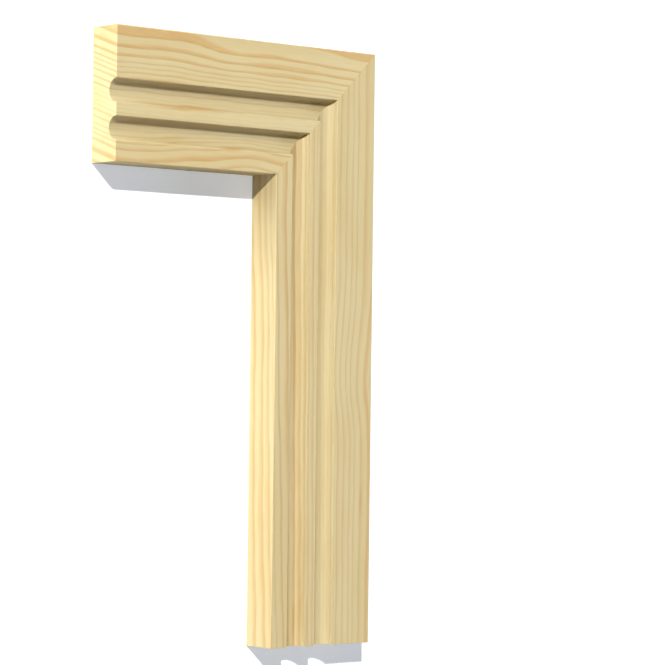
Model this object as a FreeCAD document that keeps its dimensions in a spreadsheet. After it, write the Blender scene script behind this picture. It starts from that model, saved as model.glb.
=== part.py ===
"""Mitred corner of a double-fluted pine architrave, the trim round a door opening.

Two lengths of one moulding meet at a 45 degree mitre: an upright leg and a level head.
The corner lies on its flat back. X runs along the head, Y up the leg, and Z out of the face.
The origin is the inside corner of the mitre, on the back: the corner of the door opening.
"""

import FreeCAD, Part
import math
import os
import Sketcher

# Driving dimensions, in millimetres: name, size and what it measures
DIMENSIONS = (
    ("face_width", 69.0, "planed width of the moulding, from a 75 mm sawn board"),
    ("stock_thickness", 20.0, "planed thickness, back to face"),
    ("leg_length", 318.0, "leg, from its square foot to the heel of the mitre"),
    ("head_length", 175.0, "head, from its square end to the heel of the mitre"),
    ("flute_radius", 6.0, "half-round flute, as deep as its radius"),
    ("flute_margin", 11.0, "flat of the face between the opening's edge and the first flute"),
    ("flute_spacing", 7.0, "flat of the face between the two flutes"),
    ("arris_radius", 0.5, "eased long corners of the face"),
)

# Points of a line or an arc, and the corner that both sections are drawn from
START, END, CENTRE = 1, 2, 3
SKETCH_ORIGIN = (-1, START)

# The mitre takes away about half of the square block where the lengths would cross
LEAST_WASTE = 0.4
MOST_OVERLAP = 0.001


def make_sheet(doc):
    """Sheet of the driving dimensions, one named cell for each."""
    sheet = doc.addObject("Spreadsheet::Sheet", "Sizes")
    for row, (name, size, meaning) in enumerate(DIMENSIONS, start=1):
        sheet.set(f"A{row}", name)
        sheet.set(f"B{row}", str(size))
        sheet.set(f"C{row}", meaning)
        sheet.setAlias(f"B{row}", name)
    doc.recompute()
    return sheet


def sketch_on(body, name, plane_role):
    """Empty drawing on one of the length's own reference planes."""
    sketch = body.newObject("Sketcher::SketchObject", name)
    plane = next(f for f in body.Origin.OriginFeatures if f.Role == plane_role)
    sketch.AttachmentSupport = [(plane, "")]
    sketch.MapMode = "FlatFace"
    return sketch


def join(sketch, first, second, kind="Coincident"):
    """Ties two points together, each given as a line and which of its points."""
    sketch.addConstraint(Sketcher.Constraint(kind, *first, *second))


def dimension(sketch, kind, name, expression, *where):
    """Adds a named dimension that follows the sheet of sizes."""
    index = sketch.addConstraint(Sketcher.Constraint(kind, *where))
    sketch.renameConstraint(index, name)
    sketch.setExpression(f"Constraints.{name}", expression)


def segment(x0, y0, x1, y1):
    """Straight line from (x0, y0) to (x1, y1)."""
    return Part.LineSegment(FreeCAD.Vector(x0, y0, 0), FreeCAD.Vector(x1, y1, 0))


def arc(x, y, radius, first_turn, last_turn):
    """Arc about (x, y), from and to a share of a full turn, anticlockwise."""
    circle = Part.Circle(FreeCAD.Vector(x, y, 0), FreeCAD.Vector(0, 0, 1), radius)
    return Part.ArcOfCircle(circle, first_turn * math.tau, last_turn * math.tau)


def draw_section(sketch, sheet):
    """Section of the moulding: across the face from the opening's edge, and up from the back."""
    width = sheet.face_width
    top = sheet.stock_thickness
    flute = sheet.flute_radius
    arris = sheet.arris_radius
    inner_flute = sheet.flute_margin + flute
    outer_flute = inner_flute + 2 * flute + sheet.flute_spacing

    back = sketch.addGeometry(segment(0, 0, width, 0))
    outer_edge = sketch.addGeometry(segment(width, 0, width, top - arris))
    outer_arris = sketch.addGeometry(arc(width - arris, top - arris, arris, 0, 0.25))
    outer_band = sketch.addGeometry(segment(width - arris, top, outer_flute + flute, top))
    outer_hollow = sketch.addGeometry(arc(outer_flute, top, flute, 0.5, 1))
    middle_band = sketch.addGeometry(segment(outer_flute - flute, top, inner_flute + flute, top))
    inner_hollow = sketch.addGeometry(arc(inner_flute, top, flute, 0.5, 1))
    inner_band = sketch.addGeometry(segment(inner_flute - flute, top, arris, top))
    inner_arris = sketch.addGeometry(arc(arris, top - arris, arris, 0.25, 0.5))
    inner_edge = sketch.addGeometry(segment(0, top - arris, 0, 0))

    join(sketch, (back, START), SKETCH_ORIGIN)
    join(sketch, (inner_edge, END), (back, START))
    join(sketch, (back, END), (outer_edge, START))
    for line in (back, outer_band, middle_band, inner_band):
        sketch.addConstraint(Sketcher.Constraint("Horizontal", line))
    for line in (outer_edge, inner_edge):
        sketch.addConstraint(Sketcher.Constraint("Vertical", line))

    join(sketch, (outer_edge, END), (outer_arris, START), "Tangent")
    join(sketch, (outer_arris, END), (outer_band, START), "Tangent")
    join(sketch, (inner_band, END), (inner_arris, START), "Tangent")
    join(sketch, (inner_arris, END), (inner_edge, START), "Tangent")

    for before, hollow, after in (
        (outer_band, outer_hollow, middle_band),
        (middle_band, inner_hollow, inner_band),
    ):
        join(sketch, (before, END), (hollow, END))
        join(sketch, (hollow, START), (after, START))
        sketch.addConstraint(Sketcher.Constraint("PointOnObject", hollow, START, before))
        sketch.addConstraint(Sketcher.Constraint("PointOnObject", hollow, CENTRE, before))

    dimension(sketch, "DistanceX", "width", "Sizes.face_width", back, START, back, END, width)
    dimension(
        sketch, "DistanceY", "thickness", "Sizes.stock_thickness", back, START, inner_band, END, top
    )
    dimension(
        sketch, "DistanceX", "margin", "Sizes.flute_margin",
        back, START, inner_hollow, START, sheet.flute_margin,
    )
    dimension(
        sketch, "DistanceX", "spacing", "Sizes.flute_spacing",
        inner_hollow, END, outer_hollow, START, sheet.flute_spacing,
    )
    dimension(sketch, "Radius", "inner_flute", "Sizes.flute_radius", inner_hollow, flute)
    dimension(sketch, "Radius", "outer_flute", "Sizes.flute_radius", outer_hollow, flute)
    dimension(sketch, "Radius", "inner_arris", "Sizes.arris_radius", inner_arris, arris)
    dimension(sketch, "Radius", "outer_arris", "Sizes.arris_radius", outer_arris, arris)


def draw_mitre_waste(sketch, sheet, waste_above_mitre):
    """Triangle of waste on one side of the 45 degree mitre through the inside corner.

    The saw runs past the board on every side by the board's thickness.
    """
    past = sheet.stock_thickness
    reach = sheet.face_width + past
    if waste_above_mitre:
        corner = (-past, reach)
    else:
        corner = (reach, -past)

    mitre = sketch.addGeometry(segment(-past, -past, reach, reach))
    far_side = sketch.addGeometry(segment(reach, reach, *corner))
    near_side = sketch.addGeometry(segment(*corner, -past, -past))
    join(sketch, (mitre, END), (far_side, START))
    join(sketch, (far_side, END), (near_side, START))
    join(sketch, (near_side, END), (mitre, START))
    level, upright = (far_side, near_side) if waste_above_mitre else (near_side, far_side)
    sketch.addConstraint(Sketcher.Constraint("Horizontal", level))
    sketch.addConstraint(Sketcher.Constraint("Vertical", upright))

    for axis in ("X", "Y"):
        kind = f"Distance{axis}"
        dimension(
            sketch, kind, f"toe_{axis.lower()}", "Sizes.stock_thickness",
            mitre, START, *SKETCH_ORIGIN, past,
        )
        dimension(
            sketch, kind, f"heel_{axis.lower()}", "Sizes.face_width + Sizes.stock_thickness",
            *SKETCH_ORIGIN, mitre, END, reach,
        )


def make_length(doc, sheet, name, plane_role, faces_square_end, waste_above_mitre):
    """One length of the moulding: its section run out to length, then sawn at the mitre.

    The section is drawn at the square end. faces_square_end says that the normal of its
    plane points out of that end, and not along the wood towards the mitre.
    """
    length = f"Sizes.{name.removeprefix('architrave_')}_length"
    body = doc.addObject("PartDesign::Body", name)
    body.Label = name

    section = sketch_on(body, f"{name}_section", plane_role)
    draw_section(section, sheet)
    sign = "" if faces_square_end else "-"
    section.setExpression(".AttachmentOffset.Base.z", f"{sign}({length} - Sizes.face_width)")

    stock = body.newObject("PartDesign::Pad", f"{name}_stock")
    stock.Profile = section
    stock.Reversed = faces_square_end
    stock.setExpression("Length", length)
    doc.recompute()
    before_mitre = stock.Shape.Volume

    waste = sketch_on(body, f"{name}_mitre_waste", "XY_Plane")
    draw_mitre_waste(waste, sheet, waste_above_mitre)
    mitre = body.newObject("PartDesign::Pocket", f"{name}_mitre")
    mitre.Profile = waste
    mitre.Type = "ThroughAll"
    mitre.Reversed = True
    body.Tip = mitre
    doc.recompute()
    corner_block = sheet.face_width**2 * sheet.stock_thickness
    if before_mitre - body.Shape.Volume < LEAST_WASTE * corner_block:
        raise RuntimeError(f"the mitre of {name} took too little away")
    return body


def check(doc, bodies):
    """Stops the build if a feature failed, a length isn't one solid, or the mitre doesn't close."""
    for item in doc.Objects:
        if "Invalid" in item.State or "Error" in item.State:
            raise RuntimeError(f"{item.Label} failed: {item.State}")
        if item.isDerivedFrom("Sketcher::SketchObject") and not item.FullyConstrained:
            raise RuntimeError(f"{item.Label} isn't fully constrained")
    for body in bodies:
        shape = body.Shape
        if shape.isNull() or not shape.isValid() or len(shape.Solids) != 1:
            raise RuntimeError(f"{body.Label} isn't one sound solid")
    leg, head = (body.Shape for body in bodies)
    if leg.common(head).Volume > MOST_OVERLAP or leg.distToShape(head)[0] > MOST_OVERLAP:
        raise RuntimeError("the two mitre faces don't meet")


def main():
    doc = FreeCAD.newDocument("architrave_corner")
    sheet = make_sheet(doc)
    bodies = [
        make_length(doc, sheet, "architrave_leg", "XZ_Plane", True, True),
        make_length(doc, sheet, "architrave_head", "YZ_Plane", False, False),
    ]
    doc.recompute()
    check(doc, bodies)

    os.makedirs("parts", exist_ok=True)
    for body in bodies:
        body.Shape.exportStep(f"parts/{body.Label}.step")
        box = body.Shape.BoundBox
        print(
            f"{body.Label}: x {box.XMin:.1f} to {box.XMax:.1f}, y {box.YMin:.1f} to {box.YMax:.1f}, "
            f"z {box.ZMin:.1f} to {box.ZMax:.1f} mm, {body.Shape.Volume / 1000:.1f} cm3"
        )


main()
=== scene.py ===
# %% [markdown]
# # A mitred corner of pine door trim
#
# Two lengths of double-fluted architrave, a leg and a head, meet at a 45 degree mitre. The
# corner lies on its flat back, with X along the head, Y up the leg and Z out of the face. The
# solid model gives every size, and this lesson adds what a solid model can't: soft sanded
# edges, growth rings that run right through the wood, and light.

# %% Load the frame and keep its box
import math

import bpy
import numpy as np
from mathutils import Matrix, Vector


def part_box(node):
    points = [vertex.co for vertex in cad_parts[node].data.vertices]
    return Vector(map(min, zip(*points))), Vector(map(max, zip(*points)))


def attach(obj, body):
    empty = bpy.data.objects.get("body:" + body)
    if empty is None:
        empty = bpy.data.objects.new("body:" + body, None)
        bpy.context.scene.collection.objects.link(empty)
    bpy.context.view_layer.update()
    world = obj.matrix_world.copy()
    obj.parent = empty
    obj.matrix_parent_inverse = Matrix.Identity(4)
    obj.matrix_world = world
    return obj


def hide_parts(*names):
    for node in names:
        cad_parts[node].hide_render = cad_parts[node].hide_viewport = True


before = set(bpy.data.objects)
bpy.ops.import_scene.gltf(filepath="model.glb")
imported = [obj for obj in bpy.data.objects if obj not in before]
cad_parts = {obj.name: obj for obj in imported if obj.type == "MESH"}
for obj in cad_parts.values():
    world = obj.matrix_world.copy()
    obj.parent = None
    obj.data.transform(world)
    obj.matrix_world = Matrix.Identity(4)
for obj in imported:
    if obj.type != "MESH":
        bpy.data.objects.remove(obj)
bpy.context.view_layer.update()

# %% [markdown]
# ## Sizes
#
# A moulding is easiest to think of in millimetres, as on a maker's drawing, so the section and
# the grain are worked out in millimetres and turned into metres when a mesh is made. The width,
# the thickness and both lengths are read from the solid model, so this scene follows it.

# %% Read the sizes of the moulding
MM = 0.001

leg_low, leg_high = (np.array(corner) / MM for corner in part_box("architrave_leg"))
head_low, head_high = (np.array(corner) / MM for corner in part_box("architrave_head"))
WIDTH = leg_high[0] - leg_low[0]
THICKNESS = leg_high[2] - leg_low[2]
LEG_LENGTH = leg_high[1] - leg_low[1]
HEAD_LENGTH = head_high[0] - head_low[0]
print(f"moulding {WIDTH:.1f} x {THICKNESS:.1f} mm, leg {LEG_LENGTH:.1f}, head {HEAD_LENGTH:.1f} mm")

# %% [markdown]
# ## The section
#
# The section is what the moulding's cutter leaves: a flat face with two half-round flutes. Fine
# sandpaper then takes the sharpness off every long edge, and that catches the light on real
# trim. A section could be a list of points, but a formula is better here: for each place across
# the face it gives the height of the wood, so one set of samples serves the face, the back and
# both sawn ends. The saw cuts are eased too, so the section can also be drawn a little smaller
# all round: every arc keeps its centre and only its radius changes.

# %% Name the arcs of the section
FLUTE_RADIUS = 6.0
FLUTE_MARGIN = 11.0
FLUTE_SPACING = 7.0
FIRST_FLUTE = FLUTE_MARGIN + FLUTE_RADIUS
FLUTE_CENTRES = (FIRST_FLUTE, FIRST_FLUTE + 2 * FLUTE_RADIUS + FLUTE_SPACING)
ARRIS_RADIUS = 0.5
LIP_RADIUS = 0.5

# A lip's centre lies one lip radius below the face, and flute + lip radius from the flute's own
# centre, which is on the face line. Pythagoras gives how far out along the face it is.
LIP_REACH = math.sqrt((FLUTE_RADIUS + LIP_RADIUS) ** 2 - LIP_RADIUS**2)
LIP_ANGLE = math.asin(LIP_RADIUS / (FLUTE_RADIUS + LIP_RADIUS))
print(f"the flats end {LIP_REACH:.2f} mm from each flute's centre")

# %% Choose places across the face
FLUTE_STEPS = 26
ROUND_STEPS = 4
FLAT_STEP = 1.6
HOLD = 0.12


def flat_places(start, end):
    """Places on a flat: evenly spaced, and one more close to each end, which keeps it flat."""
    steps = max(2, round((end - start) / FLAT_STEP))
    even = np.linspace(start, end, steps + 1)
    return np.concatenate(([start, start + HOLD], even[1:-1], [end - HOLD, end]))


def arc_places(centre, radius, first, last, steps):
    """Places on an arc: centre + radius x cosine of the angle, in equal steps of the angle."""
    return centre + radius * np.cos(np.linspace(first, last, steps + 1))


def places_across(inset=0.0):
    """Places across the wood, from the opening's edge outwards, for a section inset all round."""
    up = math.pi / 2
    arris = ARRIS_RADIUS - inset
    lip = LIP_RADIUS - inset
    flute = FLUTE_RADIUS + inset
    runs = [arc_places(ARRIS_RADIUS, arris, math.pi, up, ROUND_STEPS)]
    start = ARRIS_RADIUS
    for centre in FLUTE_CENTRES:
        near, far = centre - LIP_REACH, centre + LIP_REACH
        runs.append(flat_places(start, near))
        runs.append(arc_places(near, lip, up, LIP_ANGLE, ROUND_STEPS))
        runs.append(arc_places(centre, flute, math.pi - LIP_ANGLE, LIP_ANGLE, FLUTE_STEPS))
        runs.append(arc_places(far, lip, math.pi - LIP_ANGLE, up, ROUND_STEPS))
        start = far
    runs.append(flat_places(start, WIDTH - ARRIS_RADIUS))
    runs.append(arc_places(WIDTH - ARRIS_RADIUS, arris, up, 0.0, ROUND_STEPS))
    # Each run starts where the last one ended, so its first place is left out
    return np.concatenate([runs[0]] + [run[1:] for run in runs[1:]])


print(f"{len(places_across())} places across the face")


# %% Work out the height of the face
def bulge(radius, distance):
    """Height of a circle above its centre: sqrt(radius^2 - distance^2), and 0 beyond it."""
    return np.sqrt(np.clip(radius**2 - distance**2, 0.0, None))


def face_height(across, inset=0.0):
    """Height of the face above the back, for places across it, for a section inset all round.

    On a flat it is the thickness. On an arris or a lip it is the arc's centre + bulge. In a
    flute it is the thickness - bulge of the flute's circle.
    """
    height = np.full_like(across, THICKNESS - inset)

    from_arris = ARRIS_RADIUS - np.minimum(across, WIDTH - across)
    arris = THICKNESS - ARRIS_RADIUS + bulge(ARRIS_RADIUS - inset, from_arris)
    height = np.where(from_arris > 0, arris, height)

    touch = LIP_REACH * (FLUTE_RADIUS + inset) / (FLUTE_RADIUS + LIP_RADIUS)
    for centre in FLUTE_CENTRES:
        distance = np.abs(across - centre)
        lip = THICKNESS - LIP_RADIUS + bulge(LIP_RADIUS - inset, LIP_REACH - distance)
        flute = THICKNESS - bulge(FLUTE_RADIUS + inset, distance)
        height = np.where(distance < LIP_REACH, lip, height)
        height = np.where(distance < touch, flute, height)
    return height


print(f"lowest place of a flute {face_height(places_across()).min():.2f} mm above the back")

# %% [markdown]
# ## From section to board
#
# On the bench a length of moulding is sawn square at one end and at 45 degrees at the other. In
# Blender it could be an extruded curve with a boolean cut, but a cut leaves long uneven faces.
# Here the board is a block of points instead: across, up and along. The section fills across
# and up, and each line along the board is stretched so that it ends exactly on the mitre. The
# mesh is only the skin of the block. Close to each saw cut the section is drawn slightly
# smaller, so the cut edges are eased, as a few strokes of sandpaper leave them.

# %% Fill a block of points along the board
LEVELS = 13
ALONG_STEP = 2.0
EASE = 0.12


def board_block(length):
    """Block of points (across, up, along) of one board, in millimetres.

    Along runs from the square end, 0, to the mitre, where it is length less the distance in
    from the outer edge. A point's height is its level's share of the face height.
    """
    steps = round(length / ALONG_STEP)
    share = np.linspace(0.0, 1.0, steps + 1)
    # The slices at the two cuts come twice: eased on the cut, and full just inside it
    share = np.concatenate(([0.0, 0.0], share[1:-1], [1.0, 1.0]))
    insets = np.zeros_like(share)
    insets[[0, -1]] = EASE
    trims = np.zeros_like(share)
    trims[1] = EASE
    trims[-2] = -EASE

    level = np.linspace(0.0, 1.0, LEVELS)
    slices = []
    for inset in (0.0, EASE):
        across = places_across(inset)
        top = face_height(across, inset)
        up = inset + (top - inset)[:, None] * level
        slices.append((np.broadcast_to(across[:, None], up.shape), up))
    full, eased = (np.stack(pair, axis=-1)[:, :, None, :] for pair in slices)
    flat_part = np.where((insets > 0)[None, None, :, None], eased, full)
    mitre = length - (WIDTH - flat_part[..., 0])
    along = share * mitre + trims
    return np.concatenate((flat_part, along[..., None]), axis=-1)


leg_block = board_block(LEG_LENGTH)
head_block = board_block(HEAD_LENGTH)
print("points across, up and along:", leg_block.shape[:3], head_block.shape[:3])


# %% Keep only the skin of a block
def skin_of(block):
    """Vertices and four-sided faces of a block's six sides, with every seam closed.

    The numbers of the points on each side make a grid, and each face joins four neighbours of
    it. np.unique then drops the points inside the block and numbers the rest afresh.
    """
    numbers = np.arange(block[..., 0].size).reshape(block.shape[:3])
    quads = []
    for axis in range(3):
        for side, turned in ((0, True), (-1, False)):
            grid = np.take(numbers, side, axis=axis)
            if (axis == 1) != turned:
                grid = grid.T
            corners = (grid[:-1, :-1], grid[1:, :-1], grid[1:, 1:], grid[:-1, 1:])
            quads.append(np.stack(corners, axis=-1).reshape(-1, 4))
    used, faces = np.unique(np.concatenate(quads), return_inverse=True)
    return block.reshape(-1, 3)[used], faces.reshape(-1, 4)


leg_points, leg_faces = skin_of(leg_block)
head_points, head_faces = skin_of(head_block)
print(f"leg {len(leg_faces)} faces, head {len(head_faces)} faces")

# %% [markdown]
# ## Growth rings
#
# A pine puts on one ring a year: pale soft wood in spring, then a band of dense amber wood that
# ends sharply. A board is cut out of many rings, so each ring is a sheet that runs through it,
# and it shows as a line on the face, an edge, a flute or an end. A flat picture of grain would
# not meet at the edges. Here every point of the board is given its place in the tree, counted
# in rings, by one formula, so the lines turn every corner as they do in real wood.
#
# The rings of this tree are a list that was read off the boards, like a forester's
# count. In each ring the wood warms to a soft amber flush, and the last millimetre of the
# year's growth is a darker line with a sharp outer edge.

# %% Write down the rings of each board
# Each row: width of the ring, thickness of its amber flush, depth of the flush, depth of the line
HEAD_RINGS = (
    (6.2, 1.8, 0.70, 0.30), (11.0, 10.4, 1.05, 0.05), (11.0, 2.8, 0.95, 0.30),
    (5.9, 2.5, 0.80, 0.45), (4.7, 2.0, 0.80, 0.40), (3.2, 1.4, 0.35, 0.50), (2.3, 1.0, 0.30, 0.35),
    (2.7, 1.4, 0.40, 0.40), (3.0, 1.5, 0.40, 0.40), (4.0, 1.6, 0.45, 0.40), (3.4, 1.5, 0.30, 0.50),
    (3.2, 1.0, 0.20, 0.15), (2.1, 1.0, 0.15, 0.15), (3.2, 0.9, 0.10, 0.12), (2.0, 0.9, 0.10, 0.12),
    (2.8, 1.2, 0.20, 0.30), (3.6, 1.3, 0.25, 0.35), (3.4, 1.1, 0.20, 0.30), (2.8, 1.2, 0.35, 0.30),
    (2.2, 1.1, 0.35, 0.30), (3.0, 1.4, 0.40, 0.35), (6.2, 3.4, 0.80, 0.35), (5.2, 2.0, 0.50, 0.40),
    (5.0, 2.2, 0.70, 0.40), (6.5, 2.8, 0.70, 0.40), (6.0, 2.0, 0.60, 0.40),
)
LEG_RINGS = (
    (5.5, 2.0, 0.60, 0.35), (5.5, 2.2, 0.60, 0.35), (5.9, 2.2, 0.60, 0.35), (7.0, 3.6, 0.80, 0.10),
    (7.1, 4.0, 0.40, 0.25), (5.4, 1.9, 0.25, 0.40), (3.5, 1.5, 0.25, 0.35), (4.4, 1.7, 0.30, 0.35),
    (4.6, 2.0, 0.35, 0.40), (4.6, 1.3, 0.25, 0.25), (2.4, 1.0, 0.12, 0.12), (2.5, 1.1, 0.20, 0.20),
    (3.0, 1.0, 0.20, 0.20), (3.1, 1.0, 0.20, 0.20), (2.6, 1.6, 0.50, 0.30), (3.5, 2.3, 0.50, 0.30),
    (2.0, 1.0, 0.30, 0.25), (2.9, 1.6, 0.45, 0.35), (4.4, 3.2, 0.72, 0.58), (6.7, 2.9, 0.80, 0.42),
    (6.0, 3.0, 0.62, 0.42), (3.8, 1.1, 0.30, 0.45), (2.7, 1.0, 0.35, 0.50), (3.4, 2.1, 0.60, 0.36),
    (4.6, 2.4, 0.62, 0.36), (6.5, 2.4, 0.60, 0.40), (7.0, 2.6, 0.80, 0.45), (7.0, 2.4, 0.70, 0.45),
)
HEAD_FIRST_RING = -23.0
LEG_FIRST_RING = -24.5
LEG_TURN = 13
LINE_PART = 0.55
print(f"{len(HEAD_RINGS)} rings in the head, {len(LEG_RINGS)} in the leg")


# %% Count the rings at each place
def read_rings(rings, first, place):
    """Ring count, share of the ring that is flush and line, and their depths, across the rings.

    The rings' ends are the running sum of their widths. The count rises by one from each end
    to the next, in a straight line. Each ring keeps its own numbers for its last three quarters,
    and the first quarter changes over from the ring before.
    """
    columns = np.array(rings)
    ends = first + np.cumsum(columns[:, 0])
    count = np.interp(place, ends, np.arange(len(ends)))
    marks = np.column_stack((ends - 0.75 * columns[:, 0], ends)).ravel()
    width, flush, flush_depth, line_depth = (
        np.interp(place, marks, np.repeat(column, 2)) for column in columns.T
    )
    flush_share = flush / width
    return count, flush_share, flush_share * LINE_PART, flush_depth, line_depth


def hill(place, top, reach, steepness=2.0):
    """A smooth hill: exp(-|(place - top) / reach|^steepness), which is 1 at its top."""
    return np.exp(-(np.abs((place - top) / reach) ** steepness))


def ramp(place, start, end):
    """A smooth step from 0 at start to 1 at end: 3t^2 - 2t^3, where t is the share of the way."""
    share = np.clip((place - start) / (end - start), 0.0, 1.0)
    return share**2 * (3.0 - 2.0 * share)


# %% [markdown]
# ## How the grain wanders
#
# Rings are never dead straight along a board: the trunk tapers, and the wood swells round a
# knot that was just outside the board. The head's lines sink away from the outer edge in two
# slopes, and rise in one long hill beside the opening. The leg's lines bow inwards about half
# way down, and lean outwards below that. Each of these is one hill or ramp along the board,
# faded out across it. A flush can spread into a broad amber patch, and resin can leave a short
# streak between the rings, so both boards also have a short list of such places.

# %% Bend the rings of the head
HEAD_TILT = 0.33


def head_place(across, up, along):
    """Place across the rings of the head: distance in from the outer edge, leaning with depth.

    The sink and the heel beside the outer edge, the small swelling round a knot and the long
    rise beside the opening are hills and ramps along the board, each faded out across it.
    """
    place = WIDTH - across + HEAD_TILT * (THICKNESS - up)
    outer = hill(np.clip(place, 0.0, None), 0.0, 22.0)
    sink = 4.3 * ramp(along, 38.0, 82.0) + 2.8 * ramp(along, 108.0, 158.0)
    knot = 1.2 * hill(along, 79.0, 13.0) * hill(place, 6.0, 5.0)
    heel = 5.0 * ramp(along, 136.0, 168.0) * hill(place, 0.0, 6.5)
    rise = (3.2 * ramp(along, 10.0, 62.0) + 4.2 * hill(along, 86.0, 19.0)) * ramp(place, 44.0, 66.0)
    waver = 0.25 * np.sin(along / 9.0 + place / 11.0) + 0.15 * np.sin(along / 4.1 - place / 5.0)
    return place - outer * sink - knot - heel + rise - waver


head_ends = head_place(WIDTH, THICKNESS, np.array((0.0, HEAD_LENGTH)))
print("head, outer edge: place across the rings at its two ends, mm:", head_ends.round(1))


# %% Bend the rings of the leg
LEG_TILT = 0.7


def leg_place(across, up, along):
    """Place across the rings of the leg: distance in from the outer edge, leaning with depth.

    The bow is a hill about half way down, the sink beside the outer edge is two ramps, and the
    drift outwards is a straight line. All of them are measured down from the heel.
    """
    down = LEG_LENGTH - along
    place = WIDTH - across + LEG_TILT * (THICKNESS - up)
    outer = hill(np.clip(place, 0.0, None), 0.0, 9.0)
    middle = hill(down, 177.0, np.where(down < 177.0, 34.0, 18.0))
    bow = 5.6 * middle * np.exp(-place / 40.0) * (1.0 - ramp(place, 24.0, 42.0))
    sink = 2.9 * ramp(down, 90.0, 215.0) + 1.3 * ramp(down, 240.0, 310.0)
    leaning = 0.45 * ramp(place, 20.0, 40.0) + 0.55 * ramp(place, 50.0, 60.0)
    leaning = leaning + 0.3 * hill(place, 60.0, 5.0)
    drift = 0.027 * np.clip(down - 90.0, 0.0, None) * leaning
    drift = drift * (1.0 - 0.2 * ramp(place, 68.0, 78.0))
    edge_drift = 1.5 * hill(down, 152.0, 34.0) * ramp(place, 66.0, 76.0)
    waver = 0.22 * np.sin(down / 14.0 + place / 9.0) + 0.12 * np.sin(down / 5.3 - place / 4.0)
    return place - bow - outer * sink + drift + edge_drift - waver


leg_ends = leg_place(WIDTH, THICKNESS, np.array((0.0, LEG_LENGTH)))
print("leg, outer edge: place across the rings at its two ends, mm:", leg_ends.round(1))


# %% List the patches and streaks
# Each patch widens a flush: distance along, place across the rings, reach both ways, extra share
HEAD_PATCHES = (
    (16.0, 2.0, 47.0, 6.0, 0.44),
    (110.0, 9.6, 19.0, 2.4, 0.35),
    (112.0, 14.6, 24.0, 1.8, 0.22),
)
LEG_PATCHES = (
    (82.0, 63.5, 20.0, 2.2, 0.30),
    (232.0, 60.5, 32.0, 3.0, 0.26),
    (245.0, 79.0, 16.0, 3.0, 0.20),
)
# Each streak adds amber of its own: distance along, place, reach both ways, depth
HEAD_STREAKS = (
    (46.0, 39.1, 21.0, 0.55, 1.15),
    (12.0, 40.3, 13.0, 0.50, 0.35),
    (40.0, 57.6, 8.0, 0.90, 0.50),
    (77.0, 62.6, 7.0, 0.80, 0.45),
    (29.0, 26.1, 12.0, 0.70, 0.50),
    (46.0, 14.2, 5.0, 0.60, 0.35),
)
LEG_STREAKS = (
    (242.0, 5.6, 8.0, 0.90, 0.55),
    (298.0, 50.4, 9.0, 0.80, 0.45),
    (306.0, 56.4, 8.0, 0.90, 0.50),
    (308.0, 46.6, 12.0, 0.90, 0.45),
    (110.0, 43.3, 34.0, 0.55, 0.35),
    (226.0, 53.0, 9.0, 0.60, 0.30),
)


# %% Measure the grain at every point
# What a sawn end does to the grain: each number multiplies the one that it is named after
END_LINE_SHARE = 1.516
END_FLUSH_DEPTH = 0.758
END_LINE_DEPTH = 2.0


def grain_at(points, place_of, rings, first, patches, streaks, far_end=0.0):
    """Ring count, shares of flush and line, their depths, and streaks, at points of a board.

    Patches and streaks are hills along the board and across its rings. Their distance along is
    measured from far_end. On a sawn end we look into the open fibres, so the lines are stronger.
    """
    across, up, along = points.T
    place = place_of(across, up, along)
    count, flush_share, line_share, flush_depth, line_depth = read_rings(rings, first, place)
    run = np.abs(far_end - along)
    for middle, ring_place, reach, breadth, wider in patches:
        spread = hill(run, middle, reach, 4.0) * hill(place, ring_place, breadth, 4.0)
        flush_share = flush_share + wider * spread
    streak = np.zeros_like(place)
    for middle, ring_place, reach, breadth, depth in streaks:
        streak = streak + depth * hill(run, middle, reach, 3.0) * hill(place, ring_place, breadth)
    on_end = along < EASE / 2
    line_share = line_share * np.where(on_end, END_LINE_SHARE, 1.0)
    flush_depth = flush_depth * np.where(on_end, END_FLUSH_DEPTH, 1.0)
    line_depth = line_depth * np.where(on_end, END_LINE_DEPTH, 1.0)
    return count, flush_share, line_share, flush_depth, line_depth, streak


head_grain = grain_at(
    head_points, head_place, HEAD_RINGS, HEAD_FIRST_RING, HEAD_PATCHES, HEAD_STREAKS
)
leg_grain = grain_at(
    leg_points, leg_place, LEG_RINGS, LEG_FIRST_RING, LEG_PATCHES, LEG_STREAKS, far_end=LEG_LENGTH
)
# The middle of the leg faced the bark, so its rings are counted up to there and down again
leg_grain = (LEG_TURN - np.abs(leg_grain[0] - LEG_TURN), *leg_grain[1:])
for name, grain in (("head", head_grain), ("leg", leg_grain)):
    print(f"{name}: rings {grain[0].min():.1f} to {grain[0].max():.1f}")

# %% [markdown]
# ## Painted shade in the flutes
#
# The flutes are coloured a shade darker than the planed face, and not the same on the side near
# the opening as on the far side. This is painted shade and painted light, standing in for how the
# light falls into the hollows. It could be painted on by hand. Here it follows from each point's
# place in the section, so the change of shade sits exactly on the flutes and runs cleanly into the
# mitre.

# %% Work out the tone of the boards and the painted shade of the flutes
# Paleness at the mitre and at the square end, then the painted shade on the flutes' near and far
# sides
HEAD_TONE_AND_PAINTED_SHADE = (1.04, 1.04, 0.83, 0.92)
LEG_TONE_AND_PAINTED_SHADE = (1.0, 0.95, 0.91, 1.07)
# The painted shade is full from this depth in a flute, and the far side's painted shade takes over
# between these places
PAINTED_SHADE_DEPTH = 1.5
PAINTED_SIDE_PLACES = (2.0, 5.0)


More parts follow.
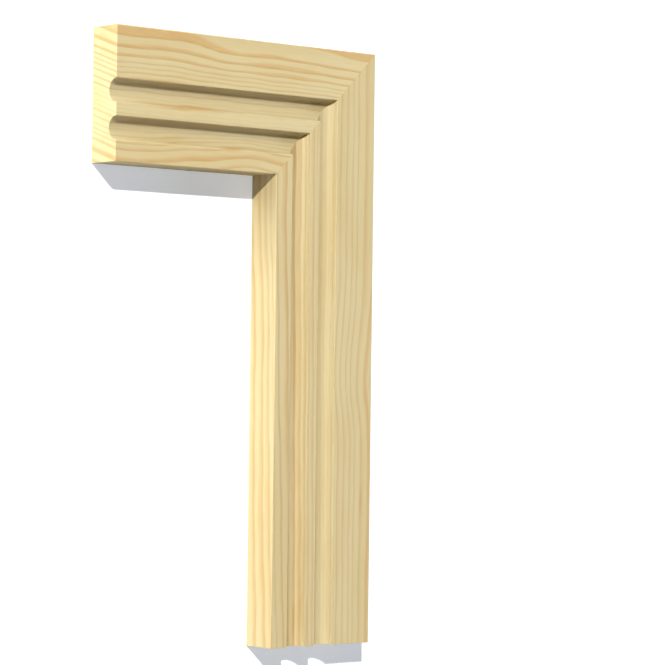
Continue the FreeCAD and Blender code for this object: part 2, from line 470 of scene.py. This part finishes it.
def tone_and_painted_shade_at(points, shades):
    """Paleness of the wood with painted shade in the flutes, and the share of that painted shade,
    at points of a board.

    The paleness goes in a straight line from the square end to the mitre. In a flute it is
    multiplied by a painted shade, which changes in a smooth step from the side near the opening
    to the far side.
    """
    across, up, along = points.T
    depth = THICKNESS - up
    painted_shade_share = np.zeros_like(depth)
    to_far_side = np.zeros_like(depth)
    for centre in FLUTE_CENTRES:
        on_flute = np.hypot(across - centre, depth) < FLUTE_RADIUS + EASE
        painted_shade_share = painted_shade_share + on_flute * ramp(depth, 0.0, PAINTED_SHADE_DEPTH)
        to_far_side = to_far_side + on_flute * ramp(across - centre, *PAINTED_SIDE_PLACES)
    at_mitre, at_square_end, near_side, far_side = shades
    paleness = at_square_end + (at_mitre - at_square_end) * along / along.max()
    painted_flute_shade = near_side + (far_side - near_side) * to_far_side
    # Painted shade, and on the leg's far side painted light, multiplies the paleness in the flutes
    return paleness * (1.0 - (1.0 - painted_flute_shade) * painted_shade_share), painted_shade_share


head_grain = (*head_grain, *tone_and_painted_shade_at(head_points, HEAD_TONE_AND_PAINTED_SHADE))
leg_grain = (*leg_grain, *tone_and_painted_shade_at(leg_points, LEG_TONE_AND_PAINTED_SHADE))
print(f"paleness of the leg {leg_grain[-2].min():.2f} to {leg_grain[-2].max():.2f}")

# %% [markdown]
# ## Making the meshes
#
# from_pydata takes the points and the faces as they are. The grain goes with each vertex as an
# attribute, which the material reads like a coordinate, so a number worked out once in numpy
# colours the wood through and through. Edges that turn more than about 35 degrees stay crisp.


# %% Put a board into Blender
CRISP_ANGLE = math.radians(35.0)
GRAIN_LABELS = (
    "rings", "flush_share", "line_share", "flush_depth", "line_depth", "streak",
    "paleness", "painted_shade_share",
)


def make_board(name, node, places, faces, wood_places, grain, material):
    """One length of moulding as a mesh object that stands for its solid.

    places are where its points lie in the scene. wood_places are the same points across, up and
    along the board, which the fibres follow.
    """
    mesh = bpy.data.meshes.new(name)
    mesh.from_pydata(places * MM, [], faces)
    mesh.update()
    for label, values in zip(GRAIN_LABELS, grain):
        mesh.attributes.new(label, "FLOAT", "POINT").data.foreach_set("value", values.ravel())
    board_place = mesh.attributes.new("wood_place", "FLOAT_VECTOR", "POINT")
    board_place.data.foreach_set("vector", wood_places.astype(np.float32).ravel())
    mesh.shade_smooth()
    mesh.set_sharp_from_angle(angle=CRISP_ANGLE)
    mesh.materials.append(material)
    piece = bpy.data.objects.new(name, mesh)
    bpy.context.collection.objects.link(piece)
    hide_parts(node)
    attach(piece, "root")
    print(f"{name}: {len(mesh.vertices)} vertices, {len(mesh.polygons)} faces")
    return piece


# %% [markdown]
# ## The pine
#
# Fresh planed pine is nearly white wood with amber lines, a little shinier on the hard lines
# than between them. A picture of wood is the quick way, but it can't follow the rings through
# the board. This material reads the ring count instead. The part of the count after the point
# says how far through the year's growth a place is: the colour deepens towards the end of the
# year and drops back at once when the next ring starts. Long thin noise adds the fibres.


# %% Small helpers for nodes
def add_node(tree, kind, **settings):
    """Adds a node, with its settings and the numbers on its sockets, given by name."""
    node = tree.nodes.new(kind)
    for name, value in settings.items():
        socket = name.replace("_", " ").title()
        if hasattr(node, name):
            setattr(node, name, value)
        else:
            node.inputs[socket].default_value = value
    return node


def feed(tree, socket, value):
    """Gives a socket another node's output, or a plain number or colour."""
    if isinstance(value, bpy.types.NodeSocket):
        tree.links.new(value, socket)
    else:
        socket.default_value = value


def sum_node(tree, operation, *values):
    """One step of arithmetic between numbers and outputs of nodes."""
    node = add_node(tree, "ShaderNodeMath", operation=operation)
    for socket, value in zip(node.inputs, values):
        feed(tree, socket, value)
    return node.outputs[0]


def smooth_range(tree, value, start, end, low, high):
    """A smooth step from low to high as the value goes from start to end."""
    node = add_node(tree, "ShaderNodeMapRange", interpolation_type="SMOOTHSTEP")
    for name, given in zip(("Value", "From Min", "From Max", "To Min", "To Max"),
                           (value, start, end, low, high)):
        feed(tree, node.inputs[name], given)
    return node.outputs["Result"]


def long_noise(tree, place, per_mm, stretch, detail=2.0, roughness=0.5):
    """Noise drawn out along the fibres: per_mm across them and stretch times coarser along."""
    scaled = add_node(tree, "ShaderNodeMapping", vector_type="POINT")
    scaled.inputs["Scale"].default_value = (per_mm, per_mm, per_mm / stretch)
    tree.links.new(place, scaled.inputs["Vector"])
    noise = add_node(tree, "ShaderNodeTexNoise", scale=1.0, detail=detail, roughness=roughness)
    tree.links.new(scaled.outputs["Vector"], noise.inputs["Vector"])
    return noise.outputs[0]


def mix_colour(tree, share, first, second, blend_type="MIX"):
    """Mixes two colours by a share from 0 to 1."""
    node = add_node(tree, "ShaderNodeMix", data_type="RGBA", blend_type=blend_type)
    for name, given in zip(("Factor_Float", "A_Color", "B_Color"), (share, first, second)):
        socket = next(s for s in node.inputs if s.identifier == name)
        feed(tree, socket, given)
    return next(s for s in node.outputs if s.identifier == "Result_Color")


def colour(red, green, blue):
    """A colour as it looks on the screen, 0 to 255, in the light that Blender mixes."""
    shown = np.array((red, green, blue)) / 255.0
    mixed = np.where(shown <= 0.04045, shown / 12.92, ((shown + 0.055) / 1.055) ** 2.4)
    return (*mixed.tolist(), 1.0)


# %% Colour the wood by its rings
PALE_WOOD = colour(222, 203, 151)
WARM_WOOD = colour(218, 196, 141)
FLUSH_TINT = (0.96, 0.775, 0.585, 1.0)
LINE_TINT = (0.78, 0.735, 0.62, 1.0)
# Cool tint painted into the flutes: painted light, standing in for light on their walls
PAINTED_FLUTE_TINT = (0.985, 1.01, 1.08, 1.0)
# Parts of the flush and of the line that have their full depth, and of the line for the drop back
FLUSH_FULL = 0.45
LINE_FULL = 0.35
LINE_DROP = 0.4
# Share of a streak that darkens as a line does
STREAK_LINE = 0.30
# How far the lines wander, in rings: in long waves, and in fine feathers
RING_WAVER = 0.10
RING_FEATHER = 0.035


def attribute(tree, name, output="Fac"):
    """A number or place that was stored with the mesh."""
    return add_node(tree, "ShaderNodeAttribute", attribute_name=name).outputs[output]


def end_of_year(tree, year, share, full_part, edge):
    """Rises over the last share of the year, is full for full_part of it, and drops over edge."""
    start = sum_node(tree, "SUBTRACT", 1.0, share)
    full = sum_node(tree, "MULTIPLY_ADD", share, -full_part, 1.0)
    rising = smooth_range(tree, year, start, full, 0.0, 1.0)
    dropping = smooth_range(tree, year, 0.0, edge, 1.0, 0.0)
    return sum_node(tree, "MAXIMUM", rising, dropping)


def through_the_year(tree, place):
    """How far through its year's growth the wood is, from 0 to 1, with lines that wander a little.

    It is the part of the ring count after the point, once long waves and fine feathers are added.
    """
    centring = -(RING_WAVER + RING_FEATHER) / 2
    waver = sum_node(tree, "MULTIPLY_ADD", long_noise(tree, place, 0.35, 9.0), RING_WAVER, centring)
    feather = long_noise(tree, place, 1.3, 22.0)
    waver = sum_node(tree, "MULTIPLY_ADD", feather, RING_FEATHER, waver)
    return sum_node(tree, "FRACT", sum_node(tree, "ADD", attribute(tree, "rings"), waver))


def ring_colour(tree, place):
    """Colour of the wood and its share of amber at each place, from the ring count."""
    year = through_the_year(tree, place)
    streak = attribute(tree, "streak")
    # A flush is broader in some places than in others, and its amber comes and goes in mottles
    spread = long_noise(tree, place, 0.16, 10.0, detail=1.0)
    spread = smooth_range(tree, spread, 0.3, 0.7, 0.8, 1.2)
    mottle = long_noise(tree, place, 0.9, 14.0, detail=3.0)
    mottle = smooth_range(tree, mottle, 0.25, 0.75, 0.75, 1.15)
    flush_share = sum_node(tree, "MULTIPLY", attribute(tree, "flush_share"), spread)
    line_share = attribute(tree, "line_share")
    edge = sum_node(tree, "MULTIPLY", line_share, LINE_DROP)

    flush = end_of_year(tree, year, flush_share, FLUSH_FULL, edge)
    flush = sum_node(tree, "MULTIPLY", flush, attribute(tree, "flush_depth"))
    flush = sum_node(tree, "ADD", flush, streak)
    flush = sum_node(tree, "MULTIPLY", flush, mottle)

    line = end_of_year(tree, year, line_share, LINE_FULL, edge)
    line = sum_node(tree, "MULTIPLY", line, attribute(tree, "line_depth"))
    line = sum_node(tree, "MULTIPLY_ADD", streak, STREAK_LINE, line)
    line = sum_node(tree, "MULTIPLY", line, mottle)

    # The pale wood is warmer in some places, and each tint multiplies it by its depth
    warmth = smooth_range(tree, long_noise(tree, place, 0.05, 5.0), 0.35, 0.65, 0.0, 1.0)
    wood = mix_colour(tree, warmth, PALE_WOOD, WARM_WOOD)
    wood = mix_colour(tree, flush, wood, FLUSH_TINT, blend_type="MULTIPLY")
    wood = mix_colour(tree, line, wood, LINE_TINT, blend_type="MULTIPLY")
    # The flutes take the cool painted light, in the share of their painted shade
    wood = mix_colour(tree, attribute(tree, "painted_shade_share"), wood, PAINTED_FLUTE_TINT, blend_type="MULTIPLY")
    return wood, sum_node(tree, "MAXIMUM", flush, line)


print("pale wood, red, green and blue as Blender mixes them:", [round(v, 3) for v in PALE_WOOD[:3]])


# %% Add fibres, shine and relief
FIBRE_SHADES = (0.955, 1.045)
PORE_SHADE = 0.93
WOOD_ROUGHNESS = 0.62
AMBER_SHINE = 0.12
AMBER_RELIEF = 0.6
FIBRE_RELIEF = 0.00003


def pine():
    """Bare planed and sanded pine."""
    material = bpy.data.materials.new("pine")
    material.use_nodes = True
    tree = material.node_tree
    shader = tree.nodes["Principled BSDF"]
    place = attribute(tree, "wood_place", "Vector")

    wood, amber = ring_colour(tree, place)
    fibres = long_noise(tree, place, 3.2, 40.0, detail=4.0, roughness=0.6)
    fibre_shade = smooth_range(tree, fibres, 0.2, 0.8, *FIBRE_SHADES)
    pores = long_noise(tree, place, 1.9, 26.0, detail=1.0)
    pore_shade = smooth_range(tree, pores, 0.66, 0.76, 1.0, PORE_SHADE)
    shade = sum_node(tree, "MULTIPLY", fibre_shade, pore_shade)
    # paleness is the board's own tone, with the painted shade and painted light of the flutes in it
    shade = sum_node(tree, "MULTIPLY", shade, attribute(tree, "paleness"))
    shade_colour = add_node(tree, "ShaderNodeCombineColor")
    for channel in shade_colour.inputs:
        tree.links.new(shade, channel)
    wood = mix_colour(tree, 1.0, wood, shade_colour.outputs["Color"], blend_type="MULTIPLY")
    tree.links.new(wood, shader.inputs["Base Color"])

    roughness = sum_node(tree, "MULTIPLY_ADD", amber, -AMBER_SHINE, WOOD_ROUGHNESS)
    tree.links.new(roughness, shader.inputs["Roughness"])

    height = sum_node(tree, "MULTIPLY_ADD", amber, AMBER_RELIEF, fibres)
    relief = add_node(tree, "ShaderNodeBump", distance=FIBRE_RELIEF, strength=0.6)
    tree.links.new(height, relief.inputs["Height"])
    tree.links.new(relief.outputs["Normal"], shader.inputs["Normal"])
    return material


pine_wood = pine()
print(f"pine: {len(pine_wood.node_tree.nodes)} nodes")


# %% Make the leg and the head
def leg_in_place(points):
    """Across is X from the opening's edge, and along runs up Y from the foot."""
    across, up, along = points.T
    return np.column_stack((leg_low[0] + across, leg_low[1] + along, leg_low[2] + up))


def head_in_place(points):
    """Across is Y from the opening's edge, and along runs in X from the square end."""
    across, up, along = points.T
    return np.column_stack((head_low[0] + along, head_low[1] + across, head_low[2] + up))


# The two boards are mirror images, so the leg's faces are turned over to look outwards
leg_board = make_board(
    "leg_board", "architrave_leg", leg_in_place(leg_points), leg_faces[:, ::-1],
    leg_points, leg_grain, pine_wood,
)
head_board = make_board(
    "head_board", "architrave_head", head_in_place(head_points), head_faces,
    head_points, head_grain, pine_wood,
)


def volume_of(piece):
    """Volume inside a closed mesh, in cubic centimetres: positive if its faces look outwards."""
    piece.data.calc_loop_triangles()
    corners = np.empty(len(piece.data.loop_triangles) * 3, dtype=np.int32)
    piece.data.loop_triangles.foreach_get("vertices", corners)
    places = np.empty(len(piece.data.vertices) * 3)
    piece.data.vertices.foreach_get("co", places)
    a, b, c = places.reshape(-1, 3)[corners.reshape(-1, 3)].transpose(1, 0, 2)
    return float(np.einsum("ij,ij->i", a, np.cross(b, c)).sum() / 6.0 * 1e6)


print(f"leg {volume_of(leg_board):.1f} cm3, head {volume_of(head_board):.1f} cm3")

# %% [markdown]
# ## Floor, light and camera
#
# The trim lies on a plain pale floor. The key light is small and high, from the far left, so
# the flutes and the inside corner get crisp shadows. Two long, low strips on the left stay just
# below the height of the boards' face, so they brighten the sawn end and the opening's edge and
# leave the face alone. A cool fill from the right and a cool glow along the horizon soften the
# rest. The floor adds a little brightness for the camera only, so it turns white where it is
# lit and stays grey in shadow. From below it is clear, so the backs can be looked at too.

# %% Lay the floor
FLOOR_REACH = 6.0
FLOOR_COLOUR = (0.67, 0.695, 0.74, 1.0)
FLOOR_LIFT = 0.40
LIFT_COLOUR = (1.0, 1.03, 1.07, 1.0)
FLOOR_LEVEL = -0.00003
TOUCHING = 0.0001


def floor_material():
    """Pale matt floor, brighter to the camera than to the wood, and clear from below.

    Light that starts within a tenth of a millimetre of it passes too, so that a view from
    underneath shows the boards' backs, and shows them lit.
    """
    material = bpy.data.materials.new("pale_floor")
    material.use_nodes = True
    tree = material.node_tree
    shader = tree.nodes["Principled BSDF"]
    shader.inputs["Base Color"].default_value = FLOOR_COLOUR
    shader.inputs["Roughness"].default_value = 0.9
    shader.inputs["Specular IOR Level"].default_value = 0.0
    rays = add_node(tree, "ShaderNodeLightPath")
    lift = sum_node(tree, "MULTIPLY", rays.outputs["Is Camera Ray"], FLOOR_LIFT)
    shader.inputs["Emission Color"].default_value = LIFT_COLOUR
    tree.links.new(lift, shader.inputs["Emission Strength"])
    from_below = add_node(tree, "ShaderNodeNewGeometry").outputs["Backfacing"]
    touching = sum_node(tree, "LESS_THAN", rays.outputs["Ray Length"], TOUCHING)
    clear = add_node(tree, "ShaderNodeBsdfTransparent")
    one_sided = add_node(tree, "ShaderNodeMixShader")
    tree.links.new(sum_node(tree, "MAXIMUM", from_below, touching), one_sided.inputs[0])
    tree.links.new(shader.outputs[0], one_sided.inputs[1])
    tree.links.new(clear.outputs[0], one_sided.inputs[2])
    tree.links.new(one_sided.outputs[0], tree.nodes["Material Output"].inputs["Surface"])
    return material


floor_mesh = bpy.data.meshes.new("floor")
corners = np.array([(-1, -1, 0), (1, -1, 0), (1, 1, 0), (-1, 1, 0)]) * FLOOR_REACH
corners[:, 2] = FLOOR_LEVEL
floor_mesh.from_pydata(corners, [], [(0, 1, 2, 3)])
floor_mesh.materials.append(floor_material())
floor = bpy.data.objects.new("floor", floor_mesh)
bpy.context.collection.objects.link(floor)
print("floor", FLOOR_REACH * 2, "m square")

# %% Set the lights
KEY_FROM = Vector((-0.475, 0.445, 0.70))
KEY_STRENGTH = 3.6
KEY_ANGLE = math.radians(0.8)
STRIP_HEIGHT = 0.0105
STRIP_DEPTH = 0.018
FILL_FROM = Vector((0.97, -0.10, 0.22))
FILL_STRENGTH = 1.75
FILL_ANGLE = math.radians(26.0)
COOL_LIGHT = (0.90, 0.98, 1.18)
HORIZON_STRENGTH = 2.85
HORIZON_HEIGHT = 0.26
GROUND_STRENGTH = 0.85


def add_sun(name, towards, strength, angle):
    """A far lamp: towards points at it, and its angle says how large it looks from the wood."""
    lamp = bpy.data.objects.new(name, bpy.data.lights.new(name, "SUN"))
    lamp.data.energy = strength
    lamp.data.angle = angle
    lamp.location = towards.normalized()
    lamp.rotation_euler = (-towards).to_track_quat("-Z", "Y").to_euler()
    bpy.context.collection.objects.link(lamp)
    return lamp


def add_strip(name, x, y, length, power):
    """A long low lamp that faces the corner from (x, y), below the height of the boards' face."""
    lamp = bpy.data.objects.new(name, bpy.data.lights.new(name, "AREA"))
    lamp.data.shape = "RECTANGLE"
    lamp.data.size = length
    lamp.data.size_y = STRIP_DEPTH
    lamp.data.energy = power
    lamp.location = (x, y, STRIP_HEIGHT)
    lamp.rotation_euler = Vector((-x, -y, 0.0)).to_track_quat("-Z", "Y").to_euler()
    bpy.context.collection.objects.link(lamp)


add_sun("key_light", KEY_FROM, KEY_STRENGTH, KEY_ANGLE)
add_strip("side_strip", x=-1.135, y=0.345, length=0.47, power=5.6)
add_strip("corner_strip", x=-0.82, y=0.80, length=0.30, power=1.2)
fill = add_sun("fill_light", FILL_FROM, FILL_STRENGTH, FILL_ANGLE)
fill.data.color = COOL_LIGHT

world = bpy.data.worlds.new("studio")
world.use_nodes = True
tree = world.node_tree
sky = tree.nodes["Background"]
towards = add_node(tree, "ShaderNodeSeparateXYZ")
tree.links.new(add_node(tree, "ShaderNodeTexCoord").outputs["Generated"], towards.inputs[0])
glow = smooth_range(tree, towards.outputs["Z"], 0.0, HORIZON_HEIGHT, HORIZON_STRENGTH, 0.0)
ground = smooth_range(tree, towards.outputs["Z"], -0.01, 0.0, GROUND_STRENGTH, HORIZON_STRENGTH)
glow = sum_node(tree, "MINIMUM", glow, ground)
# The camera sees plain white behind the floor, and only the wood and the floor see the glow
seen = add_node(tree, "ShaderNodeLightPath").outputs["Is Camera Ray"]
sky_colour = mix_colour(tree, seen, (*COOL_LIGHT, 1.0), (1.0, 1.0, 1.0, 1.0))
tree.links.new(sky_colour, sky.inputs["Color"])
tree.links.new(sum_node(tree, "MAXIMUM", glow, seen), sky.inputs["Strength"])
bpy.context.scene.world = world

# %% Place the camera
CAMERA_PLACE = Vector((-0.9564, -0.1143, 1.1487))
CAMERA_AIM = Vector((0.0404, -0.0824, 0.0200))
CAMERA_ROLL = math.radians(0.72)
CAMERA_LENS = 152.6
CAMERA_SENSOR = 36.0

camera = bpy.data.objects.new("camera", bpy.data.cameras.new("camera"))
camera.data.lens = CAMERA_LENS
camera.data.sensor_width = CAMERA_SENSOR
back = (CAMERA_PLACE - CAMERA_AIM).normalized()
right = Vector((0.0, 1.0, 0.0)).cross(back).normalized()
turned = Matrix((right, back.cross(right), back)).transposed()
turned = turned @ Matrix.Rotation(CAMERA_ROLL, 3, "Z")
camera.matrix_world = Matrix.Translation(CAMERA_PLACE) @ turned.to_4x4()
bpy.context.collection.objects.link(camera)
bpy.context.scene.camera = camera
bpy.context.scene.view_settings.view_transform = "Standard"
print("camera looks along", [round(v, 3) for v in -back])
